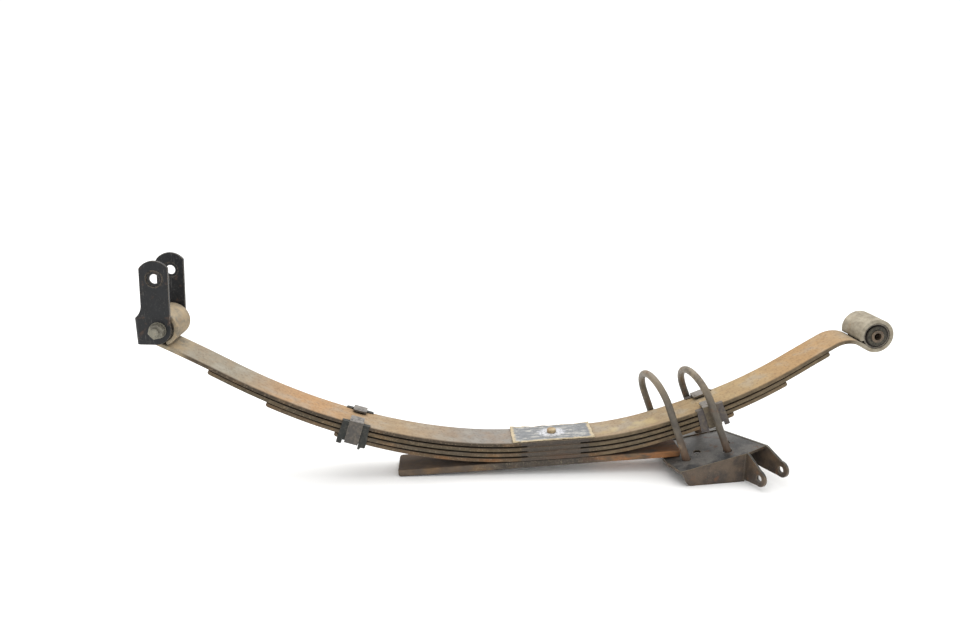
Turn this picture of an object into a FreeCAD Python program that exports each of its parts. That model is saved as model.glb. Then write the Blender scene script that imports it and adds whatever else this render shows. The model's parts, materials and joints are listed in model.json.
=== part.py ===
import FreeCAD, Part
import math
import os

# Leaf spring assembly for a light vehicle's rear axle, lying free with its loose axle hardware.
# Modelling frame, in mm: X along the spring towards the fixed front eye, Y across the leaves,
# Z up, X = 0 at the centre bolt. Every shape is moved at export so the origin is the front eye centre.

V = FreeCAD.Vector

# Leaf pack
LEAF_W = 63.5
LEAF_T = 6.5
SHIM_T = 2.6
TIP_GAP = 1.0
GAP_RUN = 200.0
OVER_T = 12.0
MID_Z = 59.2
BEND_STATIONS = [-690.0, -560.0, -430.0, -300.0, -170.0, -45.0, 45.0, 170.0, 300.0, 430.0, 500.0]
BEND_SLOPES = [-27.0, -29.9, -22.8, -15.3, -7.1, 3.3, 3.3, 16.4, 22.6, 32.6, 31.0]
REAR_TANGENT = 678.0
HUMP_START = 498.0
HUMP_R = 44.0
HUMP_EXIT = -39.0
EYE_MID_R = 24.75
REAR_WRAP = 314.0
FRONT_WRAP = 327.3
SECOND_TIPS = (-585.0, 484.0)
THIRD_TIPS = (-481.0, 401.0)
FOURTH_TIPS = (-363.0, 304.0)
OVER_ENDS = (-264.0, 215.0)
SHIM_L = 92.0
SEAT_CLEAR = 0.07
PAD_L = 140.0
PAD_T = 1.8
PAD_LIFT = 0.9
HEAD_R = 7.6
HEAD_H = 6.2
HEAD_ROUND = 2.0
SHANK_R = 5.0
SHANK_END = 12.5
SHANK_BORE_R = 5.2
NUT_CORNER_R = 9.3
NUT_FACE_R = 8.2
NUT_H = 8.0
EDGE_R = 1.6
TIP_CORNER_R = 6.0

# Bushes
SHELL_R = 21.45
SHELL_IN_R = 19.2
SHELL_HALF = 29.5
SLEEVE_R = 10.0
SLEEVE_BORE_R = 6.2
SLEEVE_HALF = 34.4
RUBBER_RUN = 0.05
RUBBER_LIP_R = 17.2
RUBBER_LIP_HALF = 32.4
RUBBER_BODY_HALF = 28.0
RUBBER_EDGE_R = 1.6

# Shackle
SHACKLE_T = 4.5
SHACKLE_IN = 34.6
SHACKLE_HOLE = (2.4, 81.6)
SHACKLE_HOLE_R = 7.5
DISH_DEPTH = 0.9
WEB_X = -35.0
WEB_BEND_R = 8.0
WEB_INNER_R = 3.5
SHACKLE_BOLT_R = 6.0
SHACKLE_BOLT_FLATS = 19.0
SHACKLE_NUT_FLATS = 21.0
WASHER_R = 13.0

# Rebound clips
CLIP_STATIONS = (-333.0, 268.0)
STRAP_W = 23.0
STRAP_T = 2.8
TAB_REACH = 23.5
LINER_W = 49.0
LINER_T = 1.5
LINER_LIP = 1.2
TAB_RISE = 1.2
LOBE_DROP = 6.5
TONGUE_DROP = 9.5
TONGUE_W = 4.4
LOBE_EDGE_R = 1.8
RIVET_R = 4.0
RIVET_HOLE_R = 4.1

# U-bolts and the shock bracket they pass through
ROD_R = 6.0
BOLT_HALF = 47.0
BOLT_Y = -3.0
BOLT_YAW = 12.5
SHEET_T = 4.0
BRACKET_TILT = 11.9
BRACKET_Z = 38.9
BRACKET_X = 251.0
RECESS = 2.4
FLOOR_Z = 1.5
BOLT_HOLE_R = 7.4
SHOCK_HOLE_R = 5.5
EAR_R = 13.5
LOCATING_HOLE_R = 6.5
FOOT_CORNER_R = 8.0
NEAR_EAR_LOW = 4.5
FAR_EAR_LOW = 19.5


def rad(deg):
    return deg * math.pi / 180.0


def slope_at(s):
    last = len(BEND_STATIONS) - 1
    if s <= BEND_STATIONS[0]:
        return rad(BEND_SLOPES[0])
    for i in range(last):
        a = BEND_STATIONS[i]
        b = BEND_STATIONS[i + 1]
        if s <= b:
            f = (s - a) / (b - a)
            return rad(BEND_SLOPES[i] + f * (BEND_SLOPES[i + 1] - BEND_SLOPES[i]))
    return rad(BEND_SLOPES[last])


def mid_point(s):
    # Integrates the slope from the centre bolt out to arc length s along the main leaf's middle line.
    steps = max(1, int(abs(s) / 2.0))
    ds = s / steps
    x = 0.0
    z = MID_Z
    for i in range(steps):
        a = slope_at((i + 0.5) * ds)
        x += math.cos(a) * ds
        z += math.sin(a) * ds
    return x, z


def below(s, depth):
    # Point a given depth under the main leaf's middle line, square to it.
    x, z = mid_point(s)
    a = slope_at(s)
    return V(x + math.sin(a) * depth, 0, z - math.cos(a) * depth)


def gap(s, tips):
    # Space between two leaves: a shim's thickness, closing over the last 200 mm before the lower leaf's tip.
    room = tips[1] - s if s > 0 else s - tips[0]
    f = min(1.0, max(0.0, room / GAP_RUN))
    f = f * f * (3.0 - 2.0 * f)
    return TIP_GAP + (SHIM_T - TIP_GAP) * f


TIPS = [SECOND_TIPS, THIRD_TIPS, FOURTH_TIPS]


def depth(leaf, s):
    # Depth of a leaf's middle line: leaf 0 is the main leaf, leaf 3 the fourth.
    d = 0.0
    for i in range(leaf):
        d += LEAF_T + gap(s, TIPS[i])
    return d


def stations(a, b, count):
    return [a + (b - a) * i / count for i in range(count + 1)]


def spline(points):
    curve = Part.BSplineCurve()
    curve.interpolate(points)
    return curve.toShape()


def line(a, b):
    return Part.makeLine(a, b)


def arc(centre, r, start, stop):
    # Arc in the XZ plane, angles in degrees from +X towards +Z.
    pts = []
    for k in (start, (start + stop) / 2.0, stop):
        pts.append(V(centre.x + r * math.cos(rad(k)), 0, centre.z + r * math.sin(rad(k))))
    return Part.Arc(pts[0], pts[1], pts[2]).toShape()


def on_circle(centre, r, k):
    return V(centre.x + r * math.cos(rad(k)), 0, centre.z + r * math.sin(rad(k)))


def sweep_y(edges, half):
    face = Part.Face(Part.Wire(Part.__sortEdges__(edges)))
    face.translate(V(0, -half, 0))
    return face.extrude(V(0, 2.0 * half, 0))


def polygon(points):
    return Part.Face(Part.makePolygon(points + [points[0]]))


def fillet_where(shape, test, r):
    edges = [e for e in shape.Edges if test(e)]
    return shape.makeFillet(r, edges)


def on_side(e):
    return all(abs(abs(v.Y) - LEAF_W / 2.0) < 0.01 for v in e.Vertexes)


def on_side_long(e):
    return on_side(e) and e.Length > LEAF_T * 1.5


def tip_corner(e):
    a = e.Vertexes[0].Point
    b = e.Vertexes[-1].Point
    return abs(e.Length - LEAF_T) < 0.3 and abs(a.y - b.y) < 0.01


def cyl(x, z, r, y0, y1):
    return Part.makeCylinder(r, y1 - y0, V(x, y0, z), V(0, 1, 0))


def tube(x, z, r_out, r_in, half):
    return cyl(x, z, r_out, -half, half).cut(cyl(x, z, r_in, -half - 1, half + 1))


def hexagon_y(x, z, flats, y0, y1):
    pts = []
    for i in range(6):
        k = rad(60.0 * i + 12.0)
        pts.append(V(x + flats / math.sqrt(3.0) * math.cos(k), y0, z + flats / math.sqrt(3.0) * math.sin(k)))
    prism = polygon(pts).extrude(V(0, y1 - y0, 0))
    low = Part.makeCone(flats * 0.5, flats * 0.5 + 2.0 * (y1 - y0), y1 - y0, V(x, y0, z), V(0, 1, 0))
    high = Part.makeCone(flats * 0.5 + 2.0 * (y1 - y0), flats * 0.5, y1 - y0, V(x, y0, z), V(0, 1, 0))
    return prism.common(low).common(high)


# Key places along the spring
rear_end = below(-REAR_TANGENT, 0.0)
rear_slope = slope_at(-REAR_TANGENT)
REAR_EYE = V(rear_end.x - math.sin(rear_slope) * EYE_MID_R, 0, rear_end.z + math.cos(rear_slope) * EYE_MID_R)
hump_slope = slope_at(HUMP_START)
HUMP = below(HUMP_START, HUMP_R)
hump_exit = rad(HUMP_EXIT)
reach = HUMP_R + EYE_MID_R
FRONT_EYE = V(HUMP.x - math.sin(hump_exit) * reach, 0, HUMP.z + math.cos(hump_exit) * reach)
ORIGIN = V(FRONT_EYE.x, 0, FRONT_EYE.z)

os.makedirs("parts", exist_ok=True)


def save(name, shape):
    out = shape.copy()
    out.translate(V(-ORIGIN.x, 0, -ORIGIN.z))
    out.exportStep("parts/" + name + ".step")


def turned(s):
    # Placement with X along the leaves, Z square to them, origin on the main leaf's middle line.
    p = below(s, 0.0)
    rot = FreeCAD.Rotation(V(0, 1, 0), -slope_at(s) * 180.0 / math.pi)
    return FreeCAD.Placement(p, rot)


def placed(shape, placement):
    out = shape.copy()
    out.Placement = placement.multiply(out.Placement)
    return out


# Main leaf: curved strip, hump and front eye rolled over it, rear eye turned up
half_t = LEAF_T / 2.0
edge_s = stations(-REAR_TANGENT, HUMP_START, 48)
top_pts = [below(s, -half_t) for s in edge_s]
low_pts = [below(s, half_t) for s in edge_s]
k_rear = 270.0 + math.degrees(rear_slope)
k_tip = k_rear - REAR_WRAP
k_hump0 = 90.0 + math.degrees(hump_slope)
k_hump1 = 90.0 + HUMP_EXIT
k_front = 270.0 + HUMP_EXIT
k_end = k_front + FRONT_WRAP
inner = EYE_MID_R - half_t
outer = EYE_MID_R + half_t
edges = [spline(top_pts)]
edges.append(arc(HUMP, HUMP_R + half_t, k_hump0, k_hump1))
edges.append(arc(FRONT_EYE, inner, k_front, k_front + FRONT_WRAP / 2.0))
edges.append(arc(FRONT_EYE, inner, k_front + FRONT_WRAP / 2.0, k_end))
edges.append(line(on_circle(FRONT_EYE, inner, k_end), on_circle(FRONT_EYE, outer, k_end)))
edges.append(arc(FRONT_EYE, outer, k_front + FRONT_WRAP / 2.0, k_end))
edges.append(arc(FRONT_EYE, outer, k_front, k_front + FRONT_WRAP / 2.0))
edges.append(arc(HUMP, HUMP_R - half_t, k_hump0, k_hump1))
edges.append(spline(low_pts))
edges.append(arc(REAR_EYE, outer, k_rear, k_rear - REAR_WRAP / 2.0))
edges.append(arc(REAR_EYE, outer, k_rear - REAR_WRAP / 2.0, k_tip))
edges.append(line(on_circle(REAR_EYE, outer, k_tip), on_circle(REAR_EYE, inner, k_tip)))
edges.append(arc(REAR_EYE, inner, k_tip, k_rear - REAR_WRAP / 2.0))
edges.append(arc(REAR_EYE, inner, k_rear - REAR_WRAP / 2.0, k_rear))
main_leaf = sweep_y(edges, LEAF_W / 2.0)
main_leaf = fillet_where(main_leaf, on_side_long, EDGE_R)


def bolt_hole():
    # Bore for the centre bolt, square to the leaves at the seat.
    hole = Part.makeCylinder(SHANK_BORE_R, 120, V(0, 0, -70), V(0, 0, 1))
    return placed(hole, turned(0.0))


main_leaf = main_leaf.cut(bolt_hole())
save("main_leaf", main_leaf)


def lower_leaf(index, tips):
    ss = stations(tips[0], tips[1], 36)
    top = [below(s, depth(index, s) - half_t) for s in ss]
    low = [below(s, depth(index, s) + half_t) for s in ss]
    ring = [spline(top), spline(low), line(top[0], low[0]), line(top[-1], low[-1])]
    leaf = sweep_y(ring, LEAF_W / 2.0)
    leaf = fillet_where(leaf, tip_corner, TIP_CORNER_R)
    leaf = fillet_where(leaf, on_side_long, EDGE_R)
    return leaf.cut(bolt_hole())


def rivet_hole(s):
    hole = Part.makeCylinder(RIVET_HOLE_R, 30, V(0, 0, -depth(3, s) - 15), V(0, 0, 1))
    return placed(hole, turned(s))


save("second_leaf", lower_leaf(1, SECOND_TIPS))
save("third_leaf", lower_leaf(2, THIRD_TIPS))
fourth = lower_leaf(3, FOURTH_TIPS)
for s in CLIP_STATIONS:
    fourth = fourth.cut(rivet_hole(s))
save("fourth_leaf", fourth)

# Stack heights at the seat, measured down from the main leaf's middle line
fourth_low = 3.0 * (LEAF_T + SHIM_T) + half_t + SEAT_CLEAR
over_low = fourth_low + OVER_T


def seat_slab(length, width, z0, z1, corner):
    slab = Part.makeBox(length, width, z1 - z0, V(-length / 2.0, -width / 2.0, z0))
    slab = fillet_where(slab, lambda e: abs(e.Length - (z1 - z0)) < 0.01, corner)
    return slab


# Overload leaf: one thick flat bar under the pack, thinned a little at both ends
bar_l = OVER_ENDS[1] - OVER_ENDS[0]
bar = Part.makeBox(bar_l, LEAF_W, OVER_T, V(OVER_ENDS[0], -LEAF_W / 2.0, -over_low))
bar = fillet_where(bar, lambda e: abs(e.Length - OVER_T) < 0.01, TIP_CORNER_R)
bar = fillet_where(bar, lambda e: e.Length > bar_l * 0.9, 2.2)
save("overload_leaf", placed(bar, turned(0.0)).cut(bolt_hole()))

# Thin shims between the leaves at the seat: three alike
shims = []
for i in range(3):
    z1 = -half_t - i * (LEAF_T + SHIM_T)
    shim = seat_slab(SHIM_L, LEAF_W - 3.0, z1 - SHIM_T + SEAT_CLEAR, z1 - SEAT_CLEAR, 3.0)
    shims.append(placed(shim, turned(0.0)).cut(bolt_hole()))
save("centre_shim", Part.makeCompound(shims))

# Seat pad on top, held by the centre bolt's round head
pad_low = half_t + PAD_LIFT
head_z = pad_low + PAD_T
pad = seat_slab(PAD_L, LEAF_W + 0.6, pad_low, head_z, 2.5)
save("seat_pad", placed(pad, turned(0.0)).cut(bolt_hole()))
head = Part.makeCylinder(HEAD_R, HEAD_H, V(0, 0, head_z), V(0, 0, 1))
head = head.makeFillet(HEAD_ROUND, [e for e in head.Edges if e.BoundBox.ZMin > head_z + HEAD_H - 0.1])
shank_low = -over_low - SHANK_END
shank = Part.makeCylinder(SHANK_R, head_z - shank_low, V(0, 0, shank_low), V(0, 0, 1))
save("centre_bolt", placed(head.fuse(shank).removeSplitter(), turned(0.0)))
nut_low = -over_low - NUT_H
nut_pts = []
for i in range(6):
    nut_pts.append(V(NUT_CORNER_R * math.cos(rad(60 * i)), NUT_CORNER_R * math.sin(rad(60 * i)), nut_low))
nut = polygon(nut_pts).extrude(V(0, 0, NUT_H))
nut = nut.common(Part.makeCone(NUT_FACE_R, 14.0, NUT_H, V(0, 0, nut_low), V(0, 0, 1)))
nut = nut.cut(Part.makeCylinder(SHANK_R + 0.05, 20, V(0, 0, nut_low - 6.0), V(0, 0, 1)))
save("centre_bolt_nut", placed(nut, turned(0.0)))


# Rebound clips: a riveted strap folded over the pack, over a moulded liner
def liner_wing(sign, low, high, side, flip):
    # One side of the liner: a wing whose lobe and tongue hang below the strap, and a lip over the main leaf.
    half = LINER_W / 2.0
    clear = STRAP_W / 2.0 + 0.6
    slot = low + 0.6
    pts = [(2.5 - half, high + LINER_LIP), (half - 2.5, high + LINER_LIP)]
    pts += [(half, low + 4.0), (half, low - 5.0)]
    pts += [(clear + TONGUE_W, low - 5.6), (clear + TONGUE_W, low - TONGUE_DROP), (clear, low - TONGUE_DROP)]
    pts += [(clear, slot), (-clear - 3.4, slot), (-clear - 3.4, low - LOBE_DROP), (-half, low - LOBE_DROP)]
    pts += [(-half, low + 3.0)]
    y0 = sign * side
    wing = polygon([V(flip * p[0], y0, p[1]) for p in pts]).extrude(V(0, sign * LINER_T, 0))

    def lobe_corner(e):
        return abs(e.Length - LINER_T) < 0.01 and e.BoundBox.ZMax < low - 4.0

    wing = fillet_where(wing, lobe_corner, LOBE_EDGE_R)
    lip = Part.makeBox(LINER_W - 2.0, 6.2, LINER_LIP, V(1.0 - half, 0, high))
    lip.translate(V(0, -side - 0.2 if sign < 0 else side - 6.0, 0))
    return wing.fuse(lip).removeSplitter()


def clip(name, s, flip):
    low = -(depth(3, s) + half_t) - 0.8
    high = half_t + 0.7
    side = LEAF_W / 2.0 + 0.15
    place = turned(s)
    liner = Part.makeCompound([liner_wing(sign, low, high, side, flip) for sign in (-1, 1)])
    save(name + "_clip_liner", placed(liner, place))
    # strap
    y_in = side + LINER_T + 0.1
    y_out = y_in + STRAP_T
    tab = high + LINER_LIP + TAB_RISE
    outline = [(-y_out, low - STRAP_T), (y_out, low - STRAP_T), (y_out, tab + STRAP_T)]
    outline += [(y_out - TAB_REACH, tab + STRAP_T), (y_out - TAB_REACH, tab), (y_in, tab)]
    outline += [(y_in, low), (-y_in, low), (-y_in, tab), (TAB_REACH - y_out, tab)]
    outline += [(TAB_REACH - y_out, tab + STRAP_T), (-y_out, tab + STRAP_T)]
    face = polygon([V(-STRAP_W / 2.0, p[0], p[1]) for p in outline])
    strap = face.extrude(V(STRAP_W, 0, 0))

    def outer_bend(e):
        b = e.BoundBox
        along = abs(e.Length - STRAP_W) < 0.01
        return along and abs(abs(b.YMin) - y_out) < 0.01 and abs(b.YMin - b.YMax) < 0.01

    strap = fillet_where(strap, outer_bend, 2.5)

    def tab_corner(e):
        b = e.BoundBox
        upright = abs(e.Length - STRAP_T) < 0.01 and b.ZMin > tab - 0.01
        return upright and abs(abs(b.YMin) - (y_out - TAB_REACH)) < 0.01

    strap = fillet_where(strap, tab_corner, 3.0)
    strap = strap.cut(Part.makeCylinder(RIVET_HOLE_R, 12, V(0, 0, low - 8), V(0, 0, 1)))
    save(name + "_clip_strap", placed(strap, place))
    # rivet
    head_r = Part.makeSphere(8.0, V(0, 0, low - STRAP_T + 3.6))
    box = Part.makeBox(30, 30, 4.4, V(-15, -15, low - STRAP_T - 4.4))
    body = Part.makeCylinder(RIVET_R, STRAP_T + 0.8 + LEAF_T + 0.1, V(0, 0, low - STRAP_T), V(0, 0, 1))
    save(name + "_clip_rivet", placed(head_r.common(box).fuse(body).removeSplitter(), place))


clip("rear", CLIP_STATIONS[0], 1)
clip("front", CLIP_STATIONS[1], -1)

def lip_rim(e):
    # Outer edge of the rubber's narrower end, on either side.
    return e.Length > 2.0 * math.pi * RUBBER_LIP_R - 1.0 and abs(e.CenterOfMass.y) > RUBBER_LIP_HALF - 0.1


# Bushes: steel shell and bonded rubber in each eye, with an inner sleeve
for name, eye in (("rear", REAR_EYE), ("front", FRONT_EYE)):
    save(name + "_bush_shell", tube(eye.x, eye.z, SHELL_R, SHELL_IN_R + 0.02, SHELL_HALF))
    rubber = tube(eye.x, eye.z, SHELL_IN_R, SLEEVE_R + RUBBER_RUN, RUBBER_BODY_HALF)
    lip = tube(eye.x, eye.z, RUBBER_LIP_R, SLEEVE_R + RUBBER_RUN, RUBBER_LIP_HALF)
    rubber = rubber.fuse(lip).removeSplitter()
    rubber = fillet_where(rubber, lip_rim, RUBBER_EDGE_R)
    save(name + "_bush_rubber", rubber)
    save(name + "_bush_sleeve", tube(eye.x, eye.z, SLEEVE_R, SLEEVE_BORE_R, SLEEVE_HALF))

# Shackle: one folded sheet, two plates joined by a web behind the eye
ox = REAR_EYE.x
oz = REAR_EYE.z
y_out = SHACKLE_IN + SHACKLE_T


def pt(x, z):
    return V(ox + x, 0, oz + z)


outline = [Part.Arc(pt(-19.5, 98.0), pt(3.2, 110.0), pt(24.5, 98.5)).toShape()]
outline.append(line(pt(24.5, 98.5), pt(19.5, 8.0)))
outline.append(Part.Arc(pt(19.5, 8.0), pt(13.5, -16.0), pt(-4.0, -24.0)).toShape())
outline.append(line(pt(-4.0, -24.0), pt(WEB_X, -23.0)))
outline.append(line(pt(WEB_X, -23.0), pt(WEB_X - 0.8, 19.0)))
outline.append(Part.Arc(pt(WEB_X - 0.8, 19.0), pt(-27.0, 27.0), pt(-22.5, 40.0)).toShape())
outline.append(line(pt(-22.5, 40.0), pt(-19.5, 98.0)))
silhouette = sweep_y(outline, 60.0)
shell = Part.makeBox(80, 2 * y_out, 160, V(ox + WEB_X - 0.8, -y_out, oz - 35))
shell = fillet_where(shell, lambda e: abs(e.Length - 160) < 0.01 and e.BoundBox.XMax < ox - 20, WEB_BEND_R)
core = Part.makeBox(90, 2 * SHACKLE_IN, 180, V(ox + WEB_X - 0.8 + SHACKLE_T, -SHACKLE_IN, oz - 45))
core = fillet_where(core, lambda e: abs(e.Length - 180) < 0.01 and e.BoundBox.XMax < ox - 20, WEB_INNER_R)
shackle = shell.cut(core).common(silhouette)
hx = ox + SHACKLE_HOLE[0]
hz = oz + SHACKLE_HOLE[1]
for sign in (-1, 1):
    ring = Part.makeCone(13.8, 12.9, 1.4, V(hx, sign * (y_out - 0.2), hz), V(0, sign, 0))
    dish = Part.makeCone(11.6, 12.4, 2.2, V(hx, sign * (y_out - DISH_DEPTH), hz), V(0, sign, 0))
    back = Part.makeCone(12.4, 11.8, DISH_DEPTH, V(hx, sign * (SHACKLE_IN - 0.01), hz), V(0, sign, 0))
    shackle = shackle.fuse(ring).cut(dish).cut(back)
shackle = shackle.cut(cyl(hx, hz, SHACKLE_HOLE_R, -60, 60))
shackle = shackle.cut(cyl(ox, oz, 6.25, -60, 60))
save("shackle", shackle.removeSplitter())

# Shackle bolt: head on the far plate, washer and nut on the near one
washer = cyl(ox, oz, WASHER_R, -y_out - 2.0, -y_out - 0.02).cut(cyl(ox, oz, 6.3, -60, 0))
save("shackle_washer", washer)
bolt = hexagon_y(ox, oz, SHACKLE_BOLT_FLATS, y_out + 0.02, y_out + 8.0)
bolt = bolt.fuse(cyl(ox, oz, SHACKLE_BOLT_R, -y_out - 16.5, y_out + 1.0))
save("shackle_bolt", bolt.removeSplitter())
nut = hexagon_y(ox, oz, SHACKLE_NUT_FLATS, -y_out - 12.6, -y_out - 2.05)
nut = nut.cut(cyl(ox, oz, SHACKLE_BOLT_R + 0.03, -80, 0))
save("shackle_nut", nut)


# U-bolts: round rod bent to a half circle with two straight legs, standing loose and leaning
def u_bolt_frame(x, z, lean):
    down = V(math.sin(rad(lean)), 0, -math.cos(rad(lean)))
    across = V(-math.sin(rad(BOLT_YAW)), math.cos(rad(BOLT_YAW)), 0)
    across = across - down * across.dot(down)
    across.normalize()
    return V(x, BOLT_Y, z), down, across


def u_bolt(x, z, lean, leg):
    c, down, across = u_bolt_frame(x, z, lean)
    square = down.cross(across)
    near = c - across * BOLT_HALF
    far = c + across * BOLT_HALF
    bend = Part.makeTorus(BOLT_HALF, ROD_R, c, square, -180, 180, 360)
    keep = Part.makeBox(200, 200, 100, V(-100, -100, 0))
    rot = FreeCAD.Rotation(V(0, 0, 1), down * -1.0)
    keep.Placement = FreeCAD.Placement(c, rot)
    rod = bend.common(keep)
    for top in (near, far):
        pin = Part.makeCylinder(ROD_R, leg - 1.5, top, down)
        nose = Part.makeCone(ROD_R, ROD_R - 1.5, 1.5, top + down * (leg - 1.5), down)
        rod = rod.fuse(pin.fuse(nose))
    return rod.removeSplitter()


BOLTS = [("ubolt_rear", 176.9, 123.6, 20.5, 124.8), ("ubolt_front", 245.8, 130.4, 22.0, 132.8)]
for name, x, z, lean, leg in BOLTS:
    save(name, u_bolt(x, z, lean, leg))

# Shock bracket: folded sheet under the U-bolts. A deck rising to the front with a shallow seat recess,
# a front wall and a rear wall, both running on past the deck into slanted ears for the damper bolt.
tilt = math.tan(rad(BRACKET_TILT))


def deck_z(x):
    return BRACKET_Z + tilt * (x - BRACKET_X)


def prism(plan, z0, z1):
    return polygon([V(p[0], p[1], z0) for p in plan]).extrude(V(0, 0, z1 - z0))


def under_deck(drop):
    # Everything below the deck's plane lowered by a distance square to it.
    d = drop / math.cos(rad(BRACKET_TILT))
    pts = [V(100, -300, -150), V(500, -300, -150)]
    pts += [V(500, -300, deck_z(500) - d), V(100, -300, deck_z(100) - d)]
    return polygon(pts).extrude(V(0, 600, 0))


def heading(deg):
    return V(math.cos(rad(deg)), math.sin(rad(deg)), 0)


def wall_blade(a, b, drop_a, drop_b, thick):
    # Upright sheet along the plan line a-b, hung from the deck's height at each point.
    d = (b - a).normalize()
    n = V(-d.y, d.x, 0) * thick
    pts = [V(a.x, a.y, drop_a), V(b.x, b.y, drop_b), V(b.x, b.y, deck_z(b.x)), V(a.x, a.y, deck_z(a.x))]
    return polygon(pts).extrude(n)


front_left = V(201.0, -87.0, 0)
front_right = V(313.5, -72.0, 0)
rear_corner = V(352.5, -58.0, 0)
rear_turn = V(299.5, 48.0, 0)
back_left = V(188.0, 60.0, 0)
mid_left = V(190.5, -48.0, 0)
back_turn = V(291.5, 60.0, 0)
plan_pts = [front_left, front_right, rear_corner, rear_turn, back_turn, back_left, mid_left]
deck_plan = [(p.x, p.y) for p in plan_pts]
deck = prism(deck_plan, -140, 200).common(under_deck(0.0)).cut(under_deck(SHEET_T))
recess_plan = [(150.0, -57.5), (303.0, -25.0), (303.0, 34.5), (150.0, 34.5)]
in_deck = prism(deck_plan, -140, 200)
pressed = prism(recess_plan, -140, 200)
deck = deck.cut(pressed.cut(under_deck(RECESS)))
wide = [(150.0, -61.6), (307.0, -28.2), (307.0, 38.5), (150.0, 38.5)]
tray = prism(wide, -140, 200).common(under_deck(RECESS)).cut(under_deck(RECESS + SHEET_T)).common(in_deck)
deck = deck.fuse(tray)

EAR_HEADING = -68.0
ear_dir = heading(EAR_HEADING)
near_hole = front_right + ear_dir * 31.0 + V(0, 0, 20.5)
far_hole = rear_corner + ear_dir * 37.5 + V(0, 0, 33.5)

# Front wall: slanted left end, foot on the ground, then the near ear
foot_left = V(216.0, -85.0, FLOOR_Z)
d = (front_right - front_left).normalize()
n = V(-d.y, d.x, 0) * SHEET_T
foot_right = V(front_right.x, front_right.y, FLOOR_Z)
top_left = V(front_left.x, front_left.y, deck_z(front_left.x))
top_right = V(front_right.x, front_right.y, deck_z(front_right.x))
front_wall = polygon([top_left, foot_left, foot_right, top_right]).extrude(n)


def foot_corner(e):
    b = e.BoundBox
    return abs(e.Length - SHEET_T) < 0.01 and b.XMax < foot_left.x + 3 and b.ZMax < FLOOR_Z + 1


front_wall = fillet_where(front_wall, foot_corner, FOOT_CORNER_R)


def ear(root, hole, low_z, thick):
    # Blade from the wall's end out to a round boss about the damper bolt's hole.
    n = V(-ear_dir.y, ear_dir.x, 0) * thick
    reach_u = (hole - V(0, 0, hole.z) - root).dot(ear_dir)

    def at(u, z):
        return root + ear_dir * u + V(0, 0, z)

    top = deck_z(root.x)
    shoulder = at(reach_u + EAR_R * 0.80, hole.z + EAR_R * 0.60)
    blade = polygon([at(0.0, top), at(5.0, top - 1.0), shoulder, at(reach_u, hole.z),
                     at(reach_u - 3.0, hole.z - EAR_R * 0.97), at(0.0, low_z)]).extrude(n)
    boss = Part.makeCylinder(EAR_R, abs(thick), at(reach_u, hole.z), n)
    return blade.fuse(boss)


near_ear = ear(front_right, near_hole, NEAR_EAR_LOW, SHEET_T)
rear_wall = wall_blade(rear_corner, rear_turn, FAR_EAR_LOW, 24.0, SHEET_T)
far_ear = ear(rear_corner, far_hole, FAR_EAR_LOW, -SHEET_T)
turn_wall = wall_blade(rear_turn, back_turn, 24.0, 16.0, SHEET_T)
back_wall = wall_blade(back_turn, back_left, FLOOR_Z + 12.0, FLOOR_Z, SHEET_T)
bracket = deck
for piece in (front_wall, near_ear, rear_wall, far_ear, turn_wall, back_wall):
    bracket = bracket.fuse(piece)
for seam, low_z in ((front_right, NEAR_EAR_LOW), (rear_corner, FAR_EAR_LOW)):
    bead = Part.makeCylinder(SHEET_T * 0.5, 80, V(seam.x, seam.y, low_z) + heading(135.0) * 1.6, V(0, 0, 1))
    bracket = bracket.fuse(bead.common(under_deck(0.6)))
axis = (far_hole - near_hole).normalize()
bracket = bracket.cut(Part.makeCylinder(SHOCK_HOLE_R, 110, near_hole - axis * 30, axis))
up = V(-math.sin(rad(BRACKET_TILT)), 0, math.cos(rad(BRACKET_TILT)))
for name, x, z, lean, leg in BOLTS:
    c, down, across = u_bolt_frame(x, z, lean)
    for sign in (-1, 1):
        top = c + across * (sign * BOLT_HALF)
        t = (top.z - deck_z(top.x)) / (math.cos(rad(lean)) + tilt * math.sin(rad(lean)))
        p = top + down * t
        bracket = bracket.cut(Part.makeCylinder(BOLT_HOLE_R, 30, p - up * 15, up))
seat_hole = V(245.0, -27.0, deck_z(245.0))
bracket = bracket.cut(Part.makeCylinder(LOCATING_HOLE_R, 40, seat_hole - up * 20, up))
save("shock_bracket", bracket.removeSplitter())
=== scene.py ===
"""A used leaf spring with its shackle, U-bolts and damper bracket, dusty and rusted, on a pale floor."""

import json
import math

import bmesh
import bpy
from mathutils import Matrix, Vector, noise
from mathutils.bvhtree import BVHTree


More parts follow.
